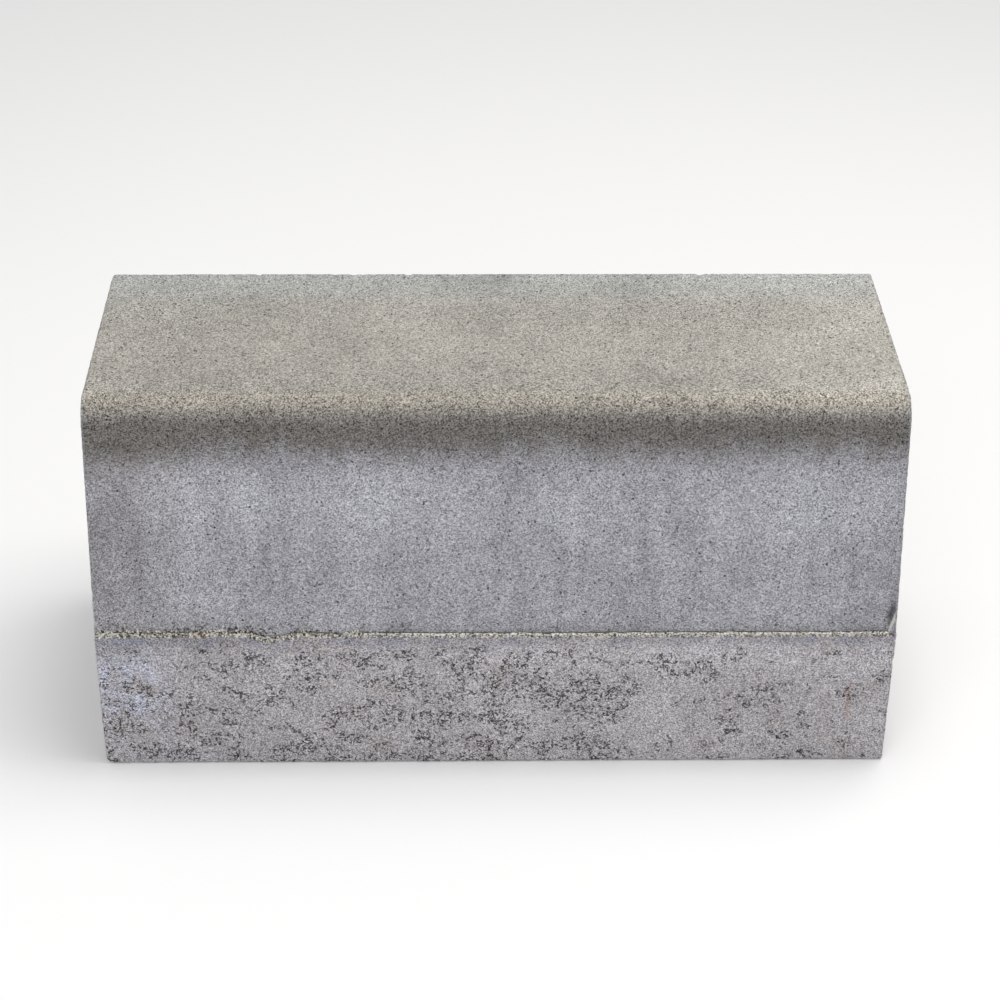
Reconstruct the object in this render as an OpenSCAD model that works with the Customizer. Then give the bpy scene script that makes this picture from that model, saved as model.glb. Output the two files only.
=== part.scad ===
// Pressed concrete kerb stone: one solid block with a vertical foot, a raked road face that is
// set back on a narrow ledge above the foot, a rounded nose and a flat top.
//
// The origin is the centre of the base. +X runs along the kerb, -Y is the road side and +Z is up.

/* [Overall size] */
// Length of one stone, along the kerb
length = 500; // [250:1:1000]
// Width of the base, from the road side to the back
width = 200; // [120:1:300]
// Height from the base to the top
height = 250; // [200:1:350]

/* [Road face] */
// Height of the vertical foot below the ledge
foot_height = 100; // [40:1:140]
// Depth of the ledge left on top of the foot
ledge = 3; // [1:0.5:8]
// How far the corner of nose and top lies behind the foot, ledge included
set_back = 30; // [10:1:60]
// Radius of the nose between the road face and the top
nose_radius = 18; // [6:1:40]

/* [Edges] */
// Radius of every other worn edge
edge_radius = 2; // [0.5:0.5:4]
// Radius of the lip of the ledge
lip_radius = 0.8; // [0.2:0.1:0.9]

/* [Hidden] */
$fn = 96;
concrete_colour = [0.74, 0.73, 0.70];

// Cutters run this far past the faces that they cut
overrun = 1;

// Corners of the cross-section as [across, up], anticlockwise from the road side of the base
front = -width / 2;
back = width / 2;
foot_corner = [front, 0];
lip_corner = [front, foot_height];
ledge_corner = [front + ledge, foot_height];
nose_corner = [front + set_back, height];
top_corner = [back, height];
back_corner = [back, 0];

// Unit vector from one corner of the section to another
function toward(from, to) = (to - from) / norm(to - from);

// Angle between the two sides that meet at a corner
function corner_angle(prev, corner, next) = acos(toward(corner, prev) * toward(corner, next));

// Distance from a corner to where an arc of this radius leaves the sides
function arc_reach(prev, corner, next, radius) = radius / tan(corner_angle(prev, corner, next) / 2);

// Centre of an arc that touches both sides of a corner
function arc_centre(prev, corner, next, radius) =
    corner + toward([0, 0], toward(corner, prev) + toward(corner, next))
    * radius / sin(corner_angle(prev, corner, next) / 2);

// What a rounded corner takes away: the tip between the arc and the two sides
module corner_tip(prev, corner, next, radius) {
    reach = arc_reach(prev, corner, next, radius);
    centre = arc_centre(prev, corner, next, radius);
    outward = toward(centre, corner) * overrun;
    on_prev = corner + toward(corner, prev) * reach;
    on_next = corner + toward(corner, next) * reach;
    difference() {
        polygon([centre, on_prev, on_prev + outward, corner + 2 * outward, on_next + outward, on_next]);
        translate(centre) circle(radius);
    }
}

// Cross-section of the stone, with every corner rounded
module section() {
    difference() {
        polygon([foot_corner, back_corner, top_corner, nose_corner, ledge_corner, lip_corner]);
        corner_tip(lip_corner, foot_corner, back_corner, edge_radius);
        corner_tip(foot_corner, back_corner, top_corner, edge_radius);
        corner_tip(back_corner, top_corner, nose_corner, edge_radius);
        corner_tip(top_corner, nose_corner, ledge_corner, nose_radius);
        corner_tip(ledge_corner, lip_corner, foot_corner, lip_radius);
    }
}

// Stone of the full section, with square ends
module square_ended() {
    rotate([90, 0, 90]) linear_extrude(length, center = true) section();
}

// Rectangle whose four corners are rounded
module rounded_rectangle(size_x, size_y, radius) {
    corners = [
        [-size_x / 2, -size_y / 2],
        [size_x / 2, -size_y / 2],
        [size_x / 2, size_y / 2],
        [-size_x / 2, size_y / 2]
    ];
    difference() {
        polygon(corners);
        for (i = [0 : 3])
            corner_tip(corners[(i + 3) % 4], corners[i], corners[(i + 1) % 4], radius);
    }
}

// Block that rounds the upright edges of both ends
module upright_edges() {
    translate([0, 0, -overrun])
        linear_extrude(height + 2 * overrun) rounded_rectangle(length, width, edge_radius);
}

// Block that rounds the top and bottom edges of both ends
module level_edges() {
    translate([0, back + overrun, height / 2]) rotate([90, 0, 0])
        linear_extrude(width + 2 * overrun) rounded_rectangle(length, height, edge_radius);
}

// The whole stone, cast in one piece
module kerb_stone() {
    color(concrete_colour)
    intersection() {
        square_ended();
        upright_edges();
        level_edges();
    }
}

kerb_stone();
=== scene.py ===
import itertools
import math

import bmesh
import bpy
import numpy as np
from mathutils import Euler, Matrix, Vector


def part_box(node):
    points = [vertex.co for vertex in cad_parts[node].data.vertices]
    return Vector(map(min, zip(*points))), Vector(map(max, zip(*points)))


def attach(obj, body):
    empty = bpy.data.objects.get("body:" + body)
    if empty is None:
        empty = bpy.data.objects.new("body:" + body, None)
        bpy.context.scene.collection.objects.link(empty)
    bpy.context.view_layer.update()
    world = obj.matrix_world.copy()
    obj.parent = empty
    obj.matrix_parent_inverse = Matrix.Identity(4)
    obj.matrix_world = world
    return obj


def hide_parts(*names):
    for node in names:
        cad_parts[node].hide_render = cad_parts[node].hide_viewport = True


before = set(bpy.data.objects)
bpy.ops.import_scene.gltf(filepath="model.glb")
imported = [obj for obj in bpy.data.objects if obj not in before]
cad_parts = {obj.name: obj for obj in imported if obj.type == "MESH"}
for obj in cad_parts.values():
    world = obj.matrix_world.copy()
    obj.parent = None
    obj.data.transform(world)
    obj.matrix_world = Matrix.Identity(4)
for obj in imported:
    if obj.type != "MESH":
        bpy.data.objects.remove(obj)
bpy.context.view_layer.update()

# ---- The kerb stone -------------------------------------------------------------------------
# One block of earth-dry concrete, vibrated and pressed in a steel mould. The mould's walls shape
# the ends, the back and the foot. A ram shapes the raked face, the nose and the top, and leaves
# a narrow ledge where it meets the wall.

# Sizes are worked out in millimetres and turned into metres for the mesh
MM = 0.001
low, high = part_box("kerb_stone")
half_length = high.x / MM
front = low.y / MM
back = high.y / MM
height = high.z / MM
foot_height = 100.0
ledge = 3.0
set_back = 30.0
nose_radius = 18.0
edge_radius = 2.0
lip_radius = 0.8
crook_radius = 0.6

# Corners of the cross-section: across, up, radius, and the spacing of points on the next side.
# They run under the stone from the back, up its road side, over the top and down the back.
section_corners = [
    (back, 0.0, edge_radius, 1.9),
    (front, 0.0, edge_radius, 0.62),
    (front, foot_height, lip_radius, 0.45),
    (front + ledge, foot_height, crook_radius, 1.0),
    (front + set_back, height, nose_radius, 1.1),
    (back, height, edge_radius, 1.5),
]
arc_spacing = 0.7
# A point inside the section that sees the whole outline
heart = np.array([5.0, 80.0])


def rounded_outline(corners):
    """Points round the section: each rounded corner, then the straight side after it."""
    arcs = []
    for i, (across, up, radius, _) in enumerate(corners):
        corner = np.array([across, up])
        to_last = np.array(corners[i - 1][:2]) - corner
        to_next = np.array(corners[(i + 1) % len(corners)][:2]) - corner
        to_last = to_last / np.linalg.norm(to_last)
        to_next = to_next / np.linalg.norm(to_next)
        half_angle = math.acos(to_last @ to_next) / 2
        middle = (to_last + to_next) / np.linalg.norm(to_last + to_next)
        centre = corner + middle * radius / math.sin(half_angle)
        reach = radius / math.tan(half_angle)
        steps = max(3, round(radius * (math.pi - 2 * half_angle) / arc_spacing))
        chord = [corner + to_last * reach * (1 - t) + to_next * reach * t
                 for t in np.linspace(0, 1, steps + 1)]
        arcs.append([centre + radius * (p - centre) / np.linalg.norm(p - centre) for p in chord])
    points = []
    for i, arc in enumerate(arcs):
        points += arc
        side = arcs[(i + 1) % len(arcs)][0] - arc[-1]
        pieces = max(1, round(np.linalg.norm(side) / corners[i][3]))
        points += [arc[-1] + side * k / pieces for k in range(1, pieces)]
    return np.array(points)


outline = rounded_outline(section_corners)
to_next_point = np.roll(outline, -1, axis=0) - outline
around = np.concatenate([[0.0], np.cumsum(np.linalg.norm(to_next_point, axis=1))])
girth = around[-1]
heading = np.roll(outline, -1, axis=0) - np.roll(outline, 1, axis=0)
heading = heading / np.linalg.norm(heading, axis=1)[:, None]
outward = np.stack([-heading[:, 1], heading[:, 0]], axis=1)
# Inward directions that turn slowly, so that an end's rounded edge doesn't fold over the ledge
inward = -outward
for _ in range(40):
    inward = (np.roll(inward, 1, axis=0) + 2 * inward + np.roll(inward, -1, axis=0)) / 4
inward = inward / np.linalg.norm(inward, axis=1)[:, None]

# Rings of points, from the heart of the left end along the stone to the heart of the right end.
# A ring has its place along the stone, its inset, how far it has shrunk towards the heart, and
# how far its normals lean along the stone.
end_rings = 64
edge_steps = 4
ring_spacing = 0.68
half_rings = [(half_length, edge_radius, 1 - k / end_rings, 1.0) for k in range(1, end_rings)]
for k in range(edge_steps + 1):
    turn = math.pi / 2 * k / edge_steps
    half_rings.append((half_length - edge_radius * (1 - math.cos(turn)),
                       edge_radius * (1 - math.sin(turn)), 0.0, math.cos(turn)))
straight = half_length - edge_radius
middle_places = np.linspace(-straight, straight, round(2 * straight / ring_spacing))
middle_rings = [(x, 0.0, 0.0, 0.0) for x in middle_places]
rings = [(-x, inset, shrink, -lean) for x, inset, shrink, lean in half_rings]
rings += middle_rings[1:-1]
rings += half_rings[::-1]
ring_x, ring_inset, ring_shrink, ring_lean = np.array(rings).T[:, :, None]

section = outline[None] + inward[None] * ring_inset[..., None]
section = section + (heart - section) * ring_shrink[..., None]
upright_share = np.sqrt(1 - ring_lean**2)
place = np.stack([ring_x + 0 * section[..., 0], section[..., 0], section[..., 1]], axis=-1)
normal = np.stack([ring_lean + 0 * section[..., 0],
                   upright_share * outward[None, :, 0],
                   upright_share * outward[None, :, 1]], axis=-1)


def draw_lots(cell, seed):
    """A fixed random number from 0 to 1 for each whole-number cell of space."""
    lot = np.full(cell.shape[:-1], seed * 0x9E3779B1 & 0xFFFFFFFF, np.uint32)
    for axis, stride in enumerate((0x8DA6B343, 0xD8163841, 0xCB1AB31F)):
        lot = lot ^ (cell[..., axis].astype(np.uint32) * np.uint32(stride))
        lot = (lot ^ (lot >> np.uint32(15))) * np.uint32(0x2C1B3C6D)
    return ((lot ^ (lot >> np.uint32(13))) / 2.0**32).astype(np.float32)


def noise(where, size, seed):
    """Smooth random heights from -1 to 1, with features about size across."""
    scaled = where / size
    cell = np.floor(scaled).astype(np.int64)
    part = scaled - cell
    part = part * part * (3 - 2 * part)
    total = 0.0
    for step in itertools.product((0, 1), repeat=3):
        weight = 1.0
        for axis in range(3):
            weight = weight * (part[..., axis] if step[axis] else 1 - part[..., axis])
        total = total + weight * draw_lots(cell + step, seed)
    return 2 * total - 1


def pits(where, size, fill, seed):
    """Depth from 0 to 1 of pits up to size across; fill is how many places hold one."""
    scaled = where / size
    cell = np.floor(scaled - 0.5).astype(np.int64)
    deepest = np.zeros(where.shape[:-1])
    for step in itertools.product((0, 1), repeat=3):
        here = cell + step
        centre = np.stack([draw_lots(here, seed + k) for k in range(3)], axis=-1) + here
        strength = np.clip((fill - draw_lots(here, seed + 3)) * 4, 0, 1)
        reach = 0.22 + 0.28 * strength
        nearness = 1 - np.linalg.norm(scaled - centre, axis=-1) / reach
        deepest = np.maximum(deepest, np.clip(nearness * 2.4, 0, 1) * np.sqrt(strength))
    return deepest


def clouds(where, size, seed):
    """Noise of several sizes together, from about -1 to 1, its largest patches size across."""
    total = noise(where, size, seed)
    total = total + 0.5 * noise(where, size / 2, seed + 1)
    total = total + 0.3 * noise(where, size / 4, seed + 2)
    return total / 1.2


def ramp(value, start, end):
    """0 before start, 1 after end, and a smooth rise between them; start may be the higher."""
    share = np.clip((value - start) / (end - start), 0, 1)
    return share * share * (3 - 2 * share)


def bell(value, middle, width):
    """1 at middle, falling off smoothly to about a third at width from it."""
    return np.exp(-((value - middle) / width) ** 2)


# These stay views of this first place, so z takes in the ledge's wander but not the relief
x, y, z = np.moveaxis(place, -1, 0)
end_share = np.abs(ring_lean) + 0 * x
on_road_side = ramp(-outward[:, 0], 0.3, 0.7)[None] * (1 - end_share)
below_ledge = (outline[:, 1] <= foot_height + 0.01) & (outline[:, 0] < front + ledge)
touched_wall = below_ledge | (outline[:, 0] > back - 0.7) | (outline[:, 1] < 1.0)
walled = np.maximum(end_share, touched_wall[None].astype(float))


def ledge_wander(x):
    """How far the ledge lies above its true line: a little, and more in its left third."""
    run = np.stack([x, 0 * x, 0 * x], axis=-1)
    restless = 1 - ramp(x, -110, -70)
    wander = 0.3 * noise(run, 14.0, 11) + 0.2 * noise(run, 5.0, 12)
    wander = wander + restless * (0.9 + 0.5 * noise(run, 17.0, 13) + 0.6 * noise(run, 6.0, 14))
    wander = wander - 4.6 * bell(x, -140, 8.5) - 1.5 * ramp(-x, 245, 250)
    return wander - 0.7 - 0.001 * x


beside_ledge = ramp(outline[:, 0], front + 40, front + 20)[None] * (1 - end_share)
place[..., 2] += ledge_wander(x) * bell(z, foot_height, 7) * beside_ledge

# Broad unevenness, and the sandy texture of the mix
where = place.copy()
relief = 0.22 * noise(where, 70.0, 21) + 0.10 * noise(where, 20.0, 22)
relief = relief + (0.07 + 0.05 * walled) * noise(where, 3.4, 23) + 0.10 * noise(where, 1.7, 24)

# Crumbly pores, in clusters, wherever the mould's wall shaped the stone
ragged = np.stack([noise(where, 1.5, seed) for seed in (31, 32, 33)], axis=-1)
ragged = where + 0.8 * ragged
flat_size = np.array([15.0, 15.0, 7.0])
cluster = 0.6 * noise(where, flat_size, 34) + 0.6 * noise(where, np.array([5.5, 5.5, 4.0]), 35)
near_ledge = ramp(z, foot_height - 14, foot_height - 7) * on_road_side
near_base = 1 - ramp(z, 5, 18)
under = ramp(-normal[..., 2], 0.5, 0.9)
middling = 0.07 * bell(x, -20, 95) - 0.07 * ramp(x, 70, 110) * on_road_side
fill = 0.11 + 0.40 * cluster + middling + 0.05 * near_base - 0.2 * near_ledge
fill = (np.clip(fill, 0.02, 0.45) + 0.12 * under) * walled
# The ram's side of the ledge is crumbly too, most of all in the left third
above_ledge = np.exp(-np.clip(z - foot_height - 1, 0, None) / 5.0) * on_road_side * (1 - walled)
loose = 0.10 + 0.20 * ramp(x, -80, -110)
broken = above_ledge * np.clip(loose * (0.5 + 1.6 * noise(where, 11.0, 36)), 0, 0.55)
fill = fill + broken
coarse = pits(ragged, np.array([4.2, 4.2, 3.0]), 0.4 * fill, 41)
small = pits(ragged, np.array([2.4, 2.4, 1.8]), 0.75 * fill, 51)
pit = np.maximum(coarse, small)
# Pinholes in the fine skin under the ram, and a few more along the nose
on_nose = bell(z, height - 6, 7) * on_road_side
pinhole = pits(where, 3.2, (0.045 + 0.16 * on_nose) * (1 - walled), 61)
relief = relief - 1.7 * coarse - 1.1 * small - 0.8 * pinhole
pit = np.maximum(pit, pinhole)

# Streaks drawn down the foot as the mould was lifted
streak_size = np.array([1.7, 1.7, 26.0])
streaks = noise(where, streak_size, 71) * walled * (1 - under) * ramp(z, 40, 80)
relief = relief + 0.10 * streaks

# Worn and chipped edges
to_corner = np.full(len(outline), 1e3)
for across, up, radius, _ in section_corners:
    if radius == edge_radius:
        to_corner = np.minimum(to_corner, np.hypot(outline[:, 0] - across, outline[:, 1] - up))
long_edge = bell(to_corner, 0, 3.0)[None] * (ring_shrink < 0.02)
end_edge = bell(np.abs(x), half_length, 2.5) * (ring_shrink < 0.03)
edge = np.maximum(long_edge, end_edge)
chip = np.clip(noise(where, 7.0, 81) + 0.6 * noise(where, 2.6, 82) - 0.6, 0, 1)
relief = relief - edge * (1.3 * chip + 0.15 * noise(where, 2.2, 83))

place = place + normal * relief[..., None]

# A hollow beside the fin of concrete that is left in the corner at the right end
fin_start, fin_width, fin_height = 245.0, 5.0, 17.0
above_foot = z - foot_height
fin_line = (x - fin_start) / fin_width - above_foot / fin_height
hollow = bell(x, fin_start + 0.12 * above_foot, 2.6) * bell(z, 112, 9.5)
hollow = hollow * ramp(fin_line, 0.05, -0.15) * on_road_side * (1 - walled)

# Where each tint lies, for the material: the sandy nose and top, and the damp dark band below it
pressed = 1 - walled
nose = ramp(z, 234, 244) * pressed
level = ramp(y, -64, -50) * nose
on_face = (pressed - level) * ramp(z, 222, 205)
foot_front = walled * on_road_side
mottle = clouds(where, 46.0, 101)
blotch = clouds(where, 15.0, 105)
spots = noise(where, 5.0, 109)
drawn_down = where * np.array([1, 1, 0.08])
drift = noise(drawn_down, 6.5, 111) + 0.7 * noise(drawn_down, 3.0, 112)
broad_drift = clouds(where * np.array([1, 1, 0.2]), 24.0, 113)
damp_line = z + 3.5 * drift + 3.0 * broad_drift + 2.5 * spots + 7.0 * ramp(x, -190, -245)
damp = ramp(damp_line, 202, 230) * ramp(z, 252, 235) * pressed

# Broad lighter and darker places, drawn out downwards on the raked face
tone = 1 + 0.07 * mottle + 0.07 * blotch + 0.04 * spots
tone = tone + on_face * (0.11 * drift + 0.08 * broad_drift)
tone = tone + on_face * (0.07 * bell(z, 186, 24) - 0.19 * ramp(x, -190, -235))
tone = tone - on_face * 0.17 * ramp(x, 212, 245) * ramp(z, 190, 150)
tone = tone + level * (0.2 * ramp(x, 110, 245) + 0.05 * ramp(x, -205, -245) + 0.05 * mottle)
# Painted shade just under the ledge, and a little darker towards the bottom
tone = tone - foot_front * (0.16 * ramp(z, 88, 97) + 0.03 * ramp(z, 16, 3))
tone = tone + foot_front * 0.14 * ramp(x, -60, 0) * bell(z, 84, 11)
tone = tone + nose * (0.13 * ramp(x, 80, 200) - 0.07 * bell(x, -40, 110)) * ramp(y, -40, -60)
tone = tone - on_face * 0.06 * ramp(x, -130, -200) * ramp(z, 190, 150)
tone = tone - on_face * 0.10 * ramp(z, 107, 101) * ramp(x, -115, -80)
tone = tone - foot_front * 0.15 * ramp(x, -110, -190) * ramp(z, 72, 88)
tone = tone + foot_front * (0.04 * bell(x, 105, 85) - 0.08 * ramp(x, 195, 230) * ramp(z, 72, 86))
# Painted shade in the hollow beside the fin
tone = tone * (1 - 0.55 * hollow * (1 + 0.6 * spots))

# Lime bloom, bluish and brownish patches, painted bluish shade under the ledge, and small rust marks
bloom = 0.5 * ramp(clouds(where, 34.0, 116), 0.25, 0.7)
bloom_places = [(-75, 187, 22), (190, 184, 26), (35, 182, 16), (-150, 188, 14), (-183, 123, 7)]
for bloom_x, bloom_z, bloom_size in bloom_places:
    bloom = np.maximum(bloom, bell(x, bloom_x, bloom_size) * bell(z, bloom_z, bloom_size))
bloom = bloom * on_face
bluish = foot_front * ramp(x, -198, -226) * bell(z, 60, 27) * ramp(spots + 0.6 * blotch, -0.7, 0.3)
brownish = walled * ramp(clouds(where, 15.0, 121), 0.05, 0.55) * (1 - 0.7 * bell(x, 90, 90))
brownish = brownish + on_face * 0.5 * ramp(x, -150, -235)
# Painted bluish shade just under the ledge
shade_under_ledge = foot_front * ramp(z, 90, 96) * ramp(noise(where, 9.0, 124), -0.3, 0.4)
dashes = noise(where * np.array([1, 1, 0.3]), 4.0, 125)
rust = foot_front * bell(x, 222, 3) * bell(z, 50, 26) * ramp(dashes, -0.1, 0.4)
rust = rust + on_face * bell(x, 122, 1.2) * bell(z, 189, 1.2)

# The ragged rim that was squeezed up along the ledge's lip, and the crack behind the ledge
lip_distance = np.hypot(outline[:, 0] - front - 0.6, outline[:, 1] - foot_height)
crook_distance = np.hypot(outline[:, 0] - front - ledge + 0.4, outline[:, 1] - foot_height)
lip = bell(lip_distance, 0, 1.3)[None] * (1 - end_share)
crook = bell(crook_distance, 0, 1.1)[None] * (1 - end_share)
crumble = 0.5 * noise(where, 3.1, 91) + 0.5 * noise(where, 1.4, 92)
place[..., 2] += lip * (0.1 + 0.9 * crumble)
place[..., 1] -= lip * (0.1 + 0.5 * crumble)
place[..., 1] += crook * (0.5 + 0.7 * noise(where, 2.5, 93))

# The fin left in the corner at the right end, where the ram didn't reach, and the hollow beside it
in_corner = on_road_side * (z > foot_height - 0.5)
fin = ramp(fin_line, 0.0, 0.12) * in_corner * ramp(x, 240, 245)
place[..., 1] = place[..., 1] * (1 - fin) + (front + 0.4 + 0.4 * crumble) * fin
place[..., 1] += 1.4 * hollow


def round_off(along_x, up_z, across, radius, depth):
    """Rounds one corner of the stone, seen from the road, less and less behind that face."""
    fade = np.exp(-np.abs(place[..., 1] - across) / depth)
    size = radius * fade + 1e-6
    beyond_x = np.sign(along_x) * (place[..., 0] - along_x) + size
    side_z = 1 if up_z > height / 2 else -1
    beyond_z = side_z * (place[..., 2] - up_z) + size
    reach = np.hypot(beyond_x, beyond_z)
    outside = (beyond_x > 0) & (beyond_z > 0) & (reach > size)
    pull = np.where(outside, size / np.maximum(reach, 1e-6), 1.0)
    place[..., 0] -= np.sign(along_x) * beyond_x * (1 - pull)
    place[..., 2] -= side_z * beyond_z * (1 - pull)


round_off(-half_length, 0.0, front, 7.0, 25.0)
round_off(-half_length, height, back, 3.5, 12.0)
round_off(half_length, height, back, 2.5, 12.0)
place[..., 2] = np.maximum(place[..., 2], 0.0)

# One closed skin of quads, with a fan at each end's heart
ring_count, per_ring = place.shape[:2]
index = np.arange(ring_count * per_ring).reshape(ring_count, per_ring)
right = np.roll(index, -1, axis=1)
quads = np.stack([index[:-1], index[1:], right[1:], right[:-1]], axis=-1).reshape(-1, 4)
left_pole = ring_count * per_ring
right_pole = left_pole + 1
left_fan = np.stack([np.full(per_ring, left_pole), index[0], right[0]], axis=-1)
right_fan = np.stack([np.full(per_ring, right_pole), right[-1], index[-1]], axis=-1)
poles = [(-half_length, *heart), (half_length, *heart)]
points = np.concatenate([place.reshape(-1, 3), poles]) * MM


def mesh_from(name, points, *face_groups):
    """A mesh from points and groups of faces, each group an array with one face a row."""
    mesh = bpy.data.meshes.new(name)
    loops = np.concatenate([group.ravel() for group in face_groups])
    sizes = np.concatenate([np.full(len(group), group.shape[1]) for group in face_groups])
    mesh.vertices.add(len(points))
    mesh.vertices.foreach_set("co", points.astype(np.float32).ravel())
    mesh.loops.add(len(loops))
    mesh.loops.foreach_set("vertex_index", loops.astype(np.int32))
    mesh.polygons.add(len(sizes))
    starts = np.concatenate([[0], np.cumsum(sizes)[:-1]])
    mesh.polygons.foreach_set("loop_start", starts.astype(np.int32))
    mesh.update(calc_edges=True)
    mesh.validate()
    return mesh


def add_values(mesh, **values):
    """Stores a number at each point of the mesh, for the material to read."""
    for name, numbers in values.items():
        layer = mesh.attributes.new(name, "FLOAT", "POINT")
        layer.data.foreach_set("value", numbers.astype(np.float32).ravel())


def at_points(numbers):
    """Numbers for every point of the skin; the two poles take those of the rings next to them."""
    grid = numbers + 0 * x
    return np.append(grid.ravel(), [grid[0].mean(), grid[-1].mean()])


skin = mesh_from("kerb_stone_skin", points, quads, left_fan, right_fan)
shelf_distance = np.hypot(outline[:, 0] - front - 2.0, outline[:, 1] - foot_height)
shelf = bell(shelf_distance, 0, 0.9)[None] * (1 - end_share)
# Where a highlight is painted along the fin's edge
fin_edge_highlight = bell(fin_line, 0.02, 0.10) * in_corner * ramp(x, 243, 245.5)
fields = {"walled": walled, "nose": nose, "level": level, "damp": damp, "tone": tone,
          "bloom": bloom, "bluish": bluish, "brownish": brownish, "shade_under_ledge": shade_under_ledge, "rust": rust,
          "crumbly": fill, "pit": pit, "broken": broken, "lip": lip, "shelf": shelf,
          "shade": crook, "fin_edge_highlight": fin_edge_highlight}
add_values(skin, **{name: at_points(field) for name, field in fields.items()})
stone = bpy.data.objects.new("kerb_stone_cast", skin)
bpy.context.scene.collection.objects.link(stone)

# Thinned where it is flat, so that the triangles go to pores, edges and the ledge
most_triangles = 192000
thin = stone.modifiers.new("thin", "DECIMATE")
thin.ratio = most_triangles / (2 * len(quads) + 2 * per_ring)
thin.use_collapse_triangulate = True
thinned = stone.evaluated_get(bpy.context.evaluated_depsgraph_get())
stone.data = bpy.data.meshes.new_from_object(thinned)
stone.modifiers.clear()
stone.data.shade_smooth()

# A map of the skin: the section unrolled, with the two ends beside it
final = stone.data
corner_point = np.empty(len(final.loops), np.int32)
final.loops.foreach_get("vertex_index", corner_point)
spot = np.empty(3 * len(final.vertices), np.float32)
final.vertices.foreach_get("co", spot)
spot[2::3] = np.maximum(spot[2::3], 0.0)
final.vertices.foreach_set("co", spot)
final.update()
spot = spot.reshape(-1, 3) / MM
face_points = spot[corner_point].reshape(-1, 3, 3)
first_side = face_points[:, 1] - face_points[:, 0]
face_normal = np.cross(first_side, face_points[:, 2] - face_points[:, 0])
face_normal = face_normal / np.maximum(np.linalg.norm(face_normal, axis=1), 1e-9)[:, None]
face_middle = face_points.mean(axis=1)
bearing = np.unwrap(np.arctan2(*(outline - heart).T[::-1]))
turned = np.sign(bearing[-1] - bearing[0])
own_bearing = np.arctan2(spot[:, 2] - heart[1], spot[:, 1] - heart[0])
progress = (own_bearing - bearing[0]) * turned % (2 * math.pi)
unrolled = np.interp(progress, (bearing - bearing[0]) * turned, around[:-1], right=girth)
map_gap = 12.0
map_size = girth + 2 * map_gap
u = spot[corner_point, 0] + half_length + map_gap
v = unrolled[corner_point] + map_gap
v = v.reshape(-1, 3)
wraps = np.ptp(v, axis=1) > girth / 2
v[wraps] = np.where(v[wraps] < girth / 2, v[wraps] + girth, v[wraps])
v = v.ravel()
for side in (-1, 1):
    flat = (side * face_middle[:, 0] > half_length - 1.5) & (side * face_normal[:, 0] > 0.4)
    flat = np.repeat(flat, 3)
    u[flat] = 2 * half_length + 2 * map_gap + spot[corner_point[flat], 1] - front
    v[flat] = spot[corner_point[flat], 2] + (map_gap if side < 0 else height + 2 * map_gap)
stone_map = final.uv_layers.new(name="OFBake")
map_points = np.stack([u, v], axis=-1) / map_size
stone_map.data.foreach_set("uv", map_points.astype(np.float32).ravel())


class Wire:
    """A shader socket that ordinary sums work on."""

    def __init__(self, tree, socket):
        self.tree = tree
        self.socket = socket

    def node(self, kind, settings, sockets, output=0):
        """Makes a node of any kind: its settings, then its sockets by name or number."""
        made = self.tree.nodes.new(kind)
        for name, value in settings.items():
            setattr(made, name, value)
        for name, value in sockets.items():
            if isinstance(value, Wire):
                self.tree.links.new(value.socket, made.inputs[name])
            else:
                made.inputs[name].default_value = value
        return Wire(self.tree, made.outputs[output])

    def sum(self, operation, first, second):
        """One sum on two sockets or numbers."""
        return self.node("ShaderNodeMath", {"operation": operation}, {0: first, 1: second})

    def __add__(self, other):
        return self.sum("ADD", self, other)

    def __sub__(self, other):
        return self.sum("SUBTRACT", self, other)

    def __rsub__(self, other):
        return self.sum("SUBTRACT", other, self)

    def __mul__(self, other):
        return self.sum("MULTIPLY", self, other)

    __radd__ = __add__
    __rmul__ = __mul__

    def most(self, other):
        """The greater of this and another."""
        return self.sum("MAXIMUM", self, other)

    def rise(self, start, end):
        """0 at start, 1 at end, smooth between; it falls where end is the lower."""
        sockets = {0: self, 1: min(start, end), 2: max(start, end), 3: 0.0, 4: 1.0}
        risen = self.node("ShaderNodeMapRange", {"interpolation_type": "SMOOTHSTEP"}, sockets)
        return risen if end > start else 1 - risen

    def bell(self, middle, width):
        """1 at middle, and near 0 beyond width either side of it."""
        return self.rise(middle - width, middle) * self.rise(middle + width, middle)

    def blend(self, amount, first, second):
        """The first colour where amount is 0, and the second where it is 1."""
        sockets = {0: amount, 6: first, 7: second}
        return self.node("ShaderNodeMix", {"data_type": "RGBA"}, sockets, 2)

    def stain(self, colour, amount):
        """This colour with another mixed over it by amount."""
        return self.blend(amount, self, colour)

    def times(self, amount):
        """This colour, lighter or darker by amount."""
        return self.node("ShaderNodeVectorMath", {"operation": "SCALE"}, {0: self, 3: amount})


def paint(red, green, blue):
    """A colour as a paint card shows it, from 0 to 255, in the linear values a shader takes."""
    return tuple((c / 255) ** 2.2 for c in (red, green, blue)) + (1.0,)


def new_material(name):
    """An empty material: its tree, its matt shader, and a wire to start from."""
    material = bpy.data.materials.new(name)
    material.use_nodes = True
    tree = material.node_tree
    tree.nodes.clear()
    surface = tree.nodes.new("ShaderNodeBsdfPrincipled")
    output = tree.nodes.new("ShaderNodeOutputMaterial")
    tree.links.new(surface.outputs[0], output.inputs[0])
    return material, surface, Wire(tree, surface.outputs[0])


# Concrete: one grey mix, bluish and fine on the raked face, sandy and warm on the nose and top,
# darkened by damp fines under the nose, and pinker and coarser where the wall shaped it
concrete, surface, wire = new_material("pressed_concrete")
metres = wire.node("ShaderNodeTexCoord", {}, {}, "Object")
spot_mm = wire.node("ShaderNodeVectorMath", {"operation": "SCALE"}, {0: metres, 3: 1 / MM})
cx, cy, cz = [wire.node("ShaderNodeSeparateXYZ", {}, {0: spot_mm}, axis) for axis in range(3)]


def stored(name):
    """A number that the mesh holds at its points."""
    return wire.node("ShaderNodeAttribute", {"attribute_name": name}, {}, "Fac")


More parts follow.
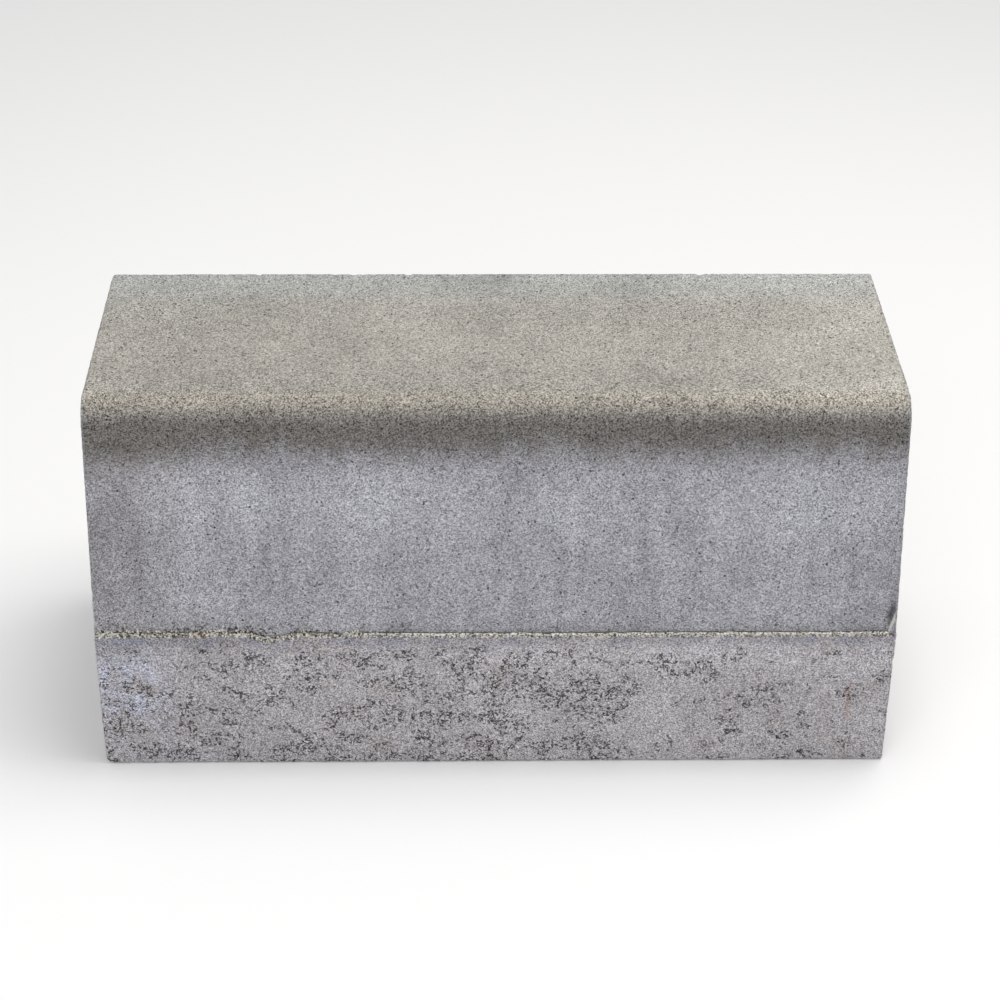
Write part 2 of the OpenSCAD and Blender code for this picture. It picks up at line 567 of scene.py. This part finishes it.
def cloud(size, detail=2.0, stretch=(1, 1, 1), shift=0.0):
    """Soft noise from 0 to 1 with patches about size across, in millimetres."""
    scaled = {0: spot_mm, 1: stretch, 2: (shift, shift, shift)}
    moved = wire.node("ShaderNodeVectorMath", {"operation": "MULTIPLY_ADD"}, scaled)
    sockets = {"Vector": moved, "Scale": 1 / size, "Detail": detail, "Roughness": 0.6}
    return wire.node("ShaderNodeTexNoise", {}, sockets, "Fac")


def grains(where, size, output="Color"):
    """Packed grains about size across: each one's own random colour, or the way to its middle."""
    return wire.node("ShaderNodeTexVoronoi", {}, {"Vector": where, "Scale": 1 / size}, output)


def draws(where, size, channel=0):
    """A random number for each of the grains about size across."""
    return wire.node("ShaderNodeSeparateColor", {}, {0: grains(where, size)}, channel)


wall = stored("walled")
nose = stored("nose")
level = stored("level")
damp = stored("damp")
foot_streaks = cloud(1.0, 1, (1, 1, 0.14), 130)
base = wire.blend(wall, paint(157, 157, 163), paint(167, 164, 168))
base = base.stain(paint(161, 156, 146), nose)
base = base.stain(paint(158, 155, 148), level)
base = base.stain(paint(161, 163, 162), level * cy.rise(40, 100) * 0.8)
base = base.stain(paint(109, 106, 103), damp)
base = base.times(stored("tone") + wall * (foot_streaks - 0.5) * 0.45)
base = base.stain(paint(184, 185, 193), stored("bloom") * 0.38)
base = base.stain(paint(182, 187, 206), stored("bluish") * 0.7)
base = base.stain(paint(150, 139, 133), stored("brownish") * 0.3)
# Painted shade under the ledge
base = base.stain(paint(133, 134, 148), stored("shade_under_ledge") * 0.6)
base = base.stain(paint(136, 104, 84), stored("rust") * 0.7)
base = base.stain(paint(126, 112, 94), stored("broken") * 0.6)

# Sand grains, each its own grey, and coarser contrast along the nose
fine = draws(spot_mm, 0.52)
coarse = draws(spot_mm, 1.2, 1)
sandy = cz.rise(205, 242) * cy.rise(-20, -66) * (1 - wall)
contrast = 1.35 + sandy * 0.45 + wall * 0.1
base = base.times(1 + (fine - 0.5) * contrast + (coarse - 0.5) * (0.28 + sandy * 0.12))

# Pores too fine for the relief: short cracks and holes, thick where the finish is crumbly, painted dark as
# the shade inside them
crumbly = stored("crumbly")
warp = wire.node("ShaderNodeTexNoise", {}, {"Vector": spot_mm, "Scale": 0.8, "Detail": 0.0}, "Color")
moved = wire.node("ShaderNodeVectorMath", {"operation": "ADD"}, {0: warp, 1: spot_mm})
flatter = wire.node("ShaderNodeVectorMath", {"operation": "MULTIPLY"}, {0: moved, 1: (1, 1, 1.4)})
crack_cells = {"Vector": flatter, "Scale": 1 / 2.3}
to_edge = {"feature": "DISTANCE_TO_EDGE"}
crack = wire.node("ShaderNodeTexVoronoi", to_edge, crack_cells, "Distance").rise(0.15, 0.06)
crack_here = (cloud(2.0, 0, shift=33) + crumbly * 0.4).rise(0.64, 0.70)
crack = crack * crack_here * crumbly.rise(0.06, 0.2)
hole = (crumbly * 0.28 + (1 - wall) * 0.045 - draws(moved, 1.5, 2)).rise(0.0, 0.03)
hole = hole * grains(moved, 1.5, "Distance").rise(0.48, 0.3)
hole = crack.most(hole)
base = base.stain(paint(30, 28, 29), hole * (0.68 + coarse * 0.3))
# The relief's pits are painted darker too: painted shade inside them
base = base.stain(paint(44, 41, 42), stored("pit").rise(0.28, 0.8) * (0.42 + coarse * 0.52))

# The ledge: a broken pale line of lime, painted brighter as a highlight where its top faces the light, a
# speckled lip, and a dark line behind it that is painted shade in the crack
rust_spot_x = -182
crumb = draws(moved, 1.1, 2)
on_lip = stored("lip").rise(0.2, 0.6)
on_shelf = stored("shelf").rise(0.2, 0.5)
crumb_tone = draws(moved, 0.75, 0)
# Painted shade in the crack behind the ledge
base = base.stain(paint(44, 39, 33), stored("shade").rise(0.34, 0.68) * (0.6 + crumb * 0.4))
base = base.stain(paint(84, 78, 70), on_lip * crumb.rise(0.38, 0.3) * 0.85)
base = base.stain(paint(200, 196, 186), on_lip * crumb.rise(0.66, 0.74))
# Pale lime on the shelf, brightened further as a painted highlight
base = base.stain(paint(238, 235, 224), on_shelf * crumb.rise(0.24, 0.32) * 0.94)
base = base.times(1 + on_shelf * (crumb_tone - 0.5) * 0.85)
# A painted highlight along the fin's edge
fin_rim_highlight = stored("fin_edge_highlight").rise(0.4, 0.8)
base = base.stain(paint(218, 216, 208), fin_rim_highlight * (0.65 + crumb_tone * 0.35))
base = base.stain(paint(122, 84, 56), on_shelf * cx.bell(rust_spot_x, 6) * crumb_tone.rise(0.3, 0.5) * 0.8)

grain_height = fine * 0.25 - hole * 0.8
bump = wire.node("ShaderNodeBump", {}, {"Strength": 1.0, "Distance": MM, "Height": grain_height})
tree = concrete.node_tree
tree.links.new(base.socket, surface.inputs["Base Color"])
tree.links.new(bump.socket, surface.inputs["Normal"])
tree.links.new((0.78 + fine * 0.16).socket, surface.inputs["Roughness"])
surface.inputs["Specular IOR Level"].default_value = 0.25
stone.data.materials.clear()
stone.data.materials.append(concrete)

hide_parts("kerb_stone")
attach(stone, "root")

# ---- Crumbs along the ledge -----------------------------------------------------------------
# Grains of sand and lime that were squeezed out between ram and wall and stuck to the ledge.
# They lie thickest in its left third, where the squeezed rim broke away.

lots = np.random.default_rng(7)
along_all, in_left_third = 1700, 560
third_end = -85
crumb_count = along_all + in_left_third
crumb_x = np.concatenate([lots.uniform(-half_length + 1, half_length - 8, along_all),
                          lots.uniform(-half_length + 1, third_end, in_left_third)])
loose_crumb = crumb_x < third_end
crumb_y = front + lots.uniform(-0.3, ledge - 0.2, crumb_count)
spread = lots.normal(-0.2 + 0.3 * loose_crumb, 0.3 + 0.55 * loose_crumb, crumb_count)
crumb_z = foot_height + ledge_wander(crumb_x) + np.clip(spread, -1.4, 3.5)
rake = (set_back - ledge) / (height - foot_height)
on_rake = front + ledge + (crumb_z - foot_height) * rake - 0.2
crumb_y = np.where(crumb_z > foot_height + 1.2, on_rake, crumb_y)
crumb_size = (0.26 + 0.4 * lots.random(crumb_count) ** 2.5) * (1 + 0.3 * loose_crumb)

ball = bpy.data.meshes.new("ball")
shape = bmesh.new()
bmesh.ops.create_icosphere(shape, subdivisions=2, radius=1.0)
shape.to_mesh(ball)
shape.free()
ball_points = np.array([point.co for point in ball.vertices])
ball_faces = np.array([face.vertices for face in ball.polygons])
bpy.data.meshes.remove(ball)

stretch = lots.uniform(0.7, 1.3, (crumb_count, 1, 3))
lumps = 1 + 0.25 * lots.uniform(-1, 1, (crumb_count, len(ball_points), 1))
crumb_middle = np.stack([crumb_x, crumb_y, crumb_z], axis=-1)[:, None]
crumb_points = crumb_middle + ball_points[None] * stretch * lumps * crumb_size[:, None, None]
crumb_faces = ball_faces[None] + len(ball_points) * np.arange(crumb_count)[:, None, None]
crumb_points = crumb_points.reshape(-1, 3) * MM
crumb_mesh = mesh_from("ledge_crumbs", crumb_points, crumb_faces.reshape(-1, 3))
add_values(crumb_mesh, own_shade=np.repeat(lots.random(crumb_count), len(ball_points)))
crumbs = bpy.data.objects.new("ledge_crumbs", crumb_mesh)
bpy.context.scene.collection.objects.link(crumbs)

# Mostly lime-coated and pale, some bare grey sand, a few dark, rusty round one spot
lime, surface, wire = new_material("lime_and_sand")
metres = wire.node("ShaderNodeTexCoord", {}, {}, "Object")
spot_mm = wire.node("ShaderNodeVectorMath", {"operation": "SCALE"}, {0: metres, 3: 1 / MM})
along = wire.node("ShaderNodeSeparateXYZ", {}, {0: spot_mm}, 0)
lot = stored("own_shade")
spots = cloud(0.8, 2)
shade = wire.blend(spots, paint(170, 166, 157), paint(234, 232, 224))
shade = shade.stain(paint(138, 133, 124), lot.rise(0.56, 0.6))
shade = shade.stain(paint(66, 60, 52), lot.rise(0.82, 0.86))
shade = shade.stain(paint(126, 84, 54), along.bell(rust_spot_x, 7) * lot.rise(0.35, 0.5) * 0.85)
wire.tree.links.new(shade.socket, surface.inputs["Base Color"])
wire.tree.links.new((0.8 + spots * 0.15).socket, surface.inputs["Roughness"])
surface.inputs["Specular IOR Level"].default_value = 0.25
crumbs.data.materials.append(lime)

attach(crumbs, "root")

# ---- Studio ---------------------------------------------------------------------------------
# A plain pale floor in a soft white surround, with one broad lamp overhead and a softer one in
# front. The stone stands on the floor as it would in the yard.

floor_half = 6.0
floor_corners = np.array([(-1, -1, 0), (1, -1, 0), (1, 1, 0), (-1, 1, 0)]) * floor_half
floor = bpy.data.objects.new("floor", mesh_from("floor", floor_corners, np.array([[0, 1, 2, 3]])))
bpy.context.scene.collection.objects.link(floor)
pale, surface, wire = new_material("pale_floor")
surface.inputs["Base Color"].default_value = (0.9, 0.9, 0.9, 1)
surface.inputs["Roughness"].default_value = 0.9
surface.inputs["Specular IOR Level"].default_value = 0.0
floor.data.materials.append(pale)

surround = bpy.data.worlds.new("surround")
surround.use_nodes = True
surround.node_tree.nodes["Background"].inputs[0].default_value = (1, 1, 1, 1)
surround.node_tree.nodes["Background"].inputs[1].default_value = 0.6
bpy.context.scene.world = surround


def soft_lamp(name, spot, target, size, power, colour):
    """A square lamp that faces a target."""
    lamp = bpy.data.lights.new(name, "AREA")
    lamp.size = size
    lamp.energy = power
    lamp.color = colour
    holder = bpy.data.objects.new(name, lamp)
    holder.location = spot
    holder.rotation_euler = (Vector(target) - Vector(spot)).to_track_quat("-Z", "Y").to_euler()
    bpy.context.scene.collection.objects.link(holder)


soft_lamp("overhead", (0.4, 0.1, 1.8), (0, 0, 0.2), 1.0, 18, (1.0, 0.985, 0.96))
soft_lamp("front_fill", (-0.8, -2.0, 1.2), (0, 0, 0.12), 1.4, 14, (0.96, 0.98, 1.0))

# The camera looks down on the road side from just left of the middle, with a long lens
pitch, yaw, roll = 0.56573, -0.02344, 0.00951
camera = bpy.data.objects.new("camera", bpy.data.cameras.new("camera"))
camera.data.sensor_width = 36
camera.data.lens = 85.58
turned_to = Euler((math.pi / 2 - pitch, 0, yaw)).to_matrix().to_4x4()
turned_to = turned_to @ Matrix.Rotation(roll, 4, "Z")
stands_at = Matrix.Translation((-0.0269, -1.3026, 0.9636))
camera.matrix_world = stands_at @ turned_to
bpy.context.scene.collection.objects.link(camera)
bpy.context.scene.camera = camera
bpy.context.scene.view_settings.view_transform = "Standard"
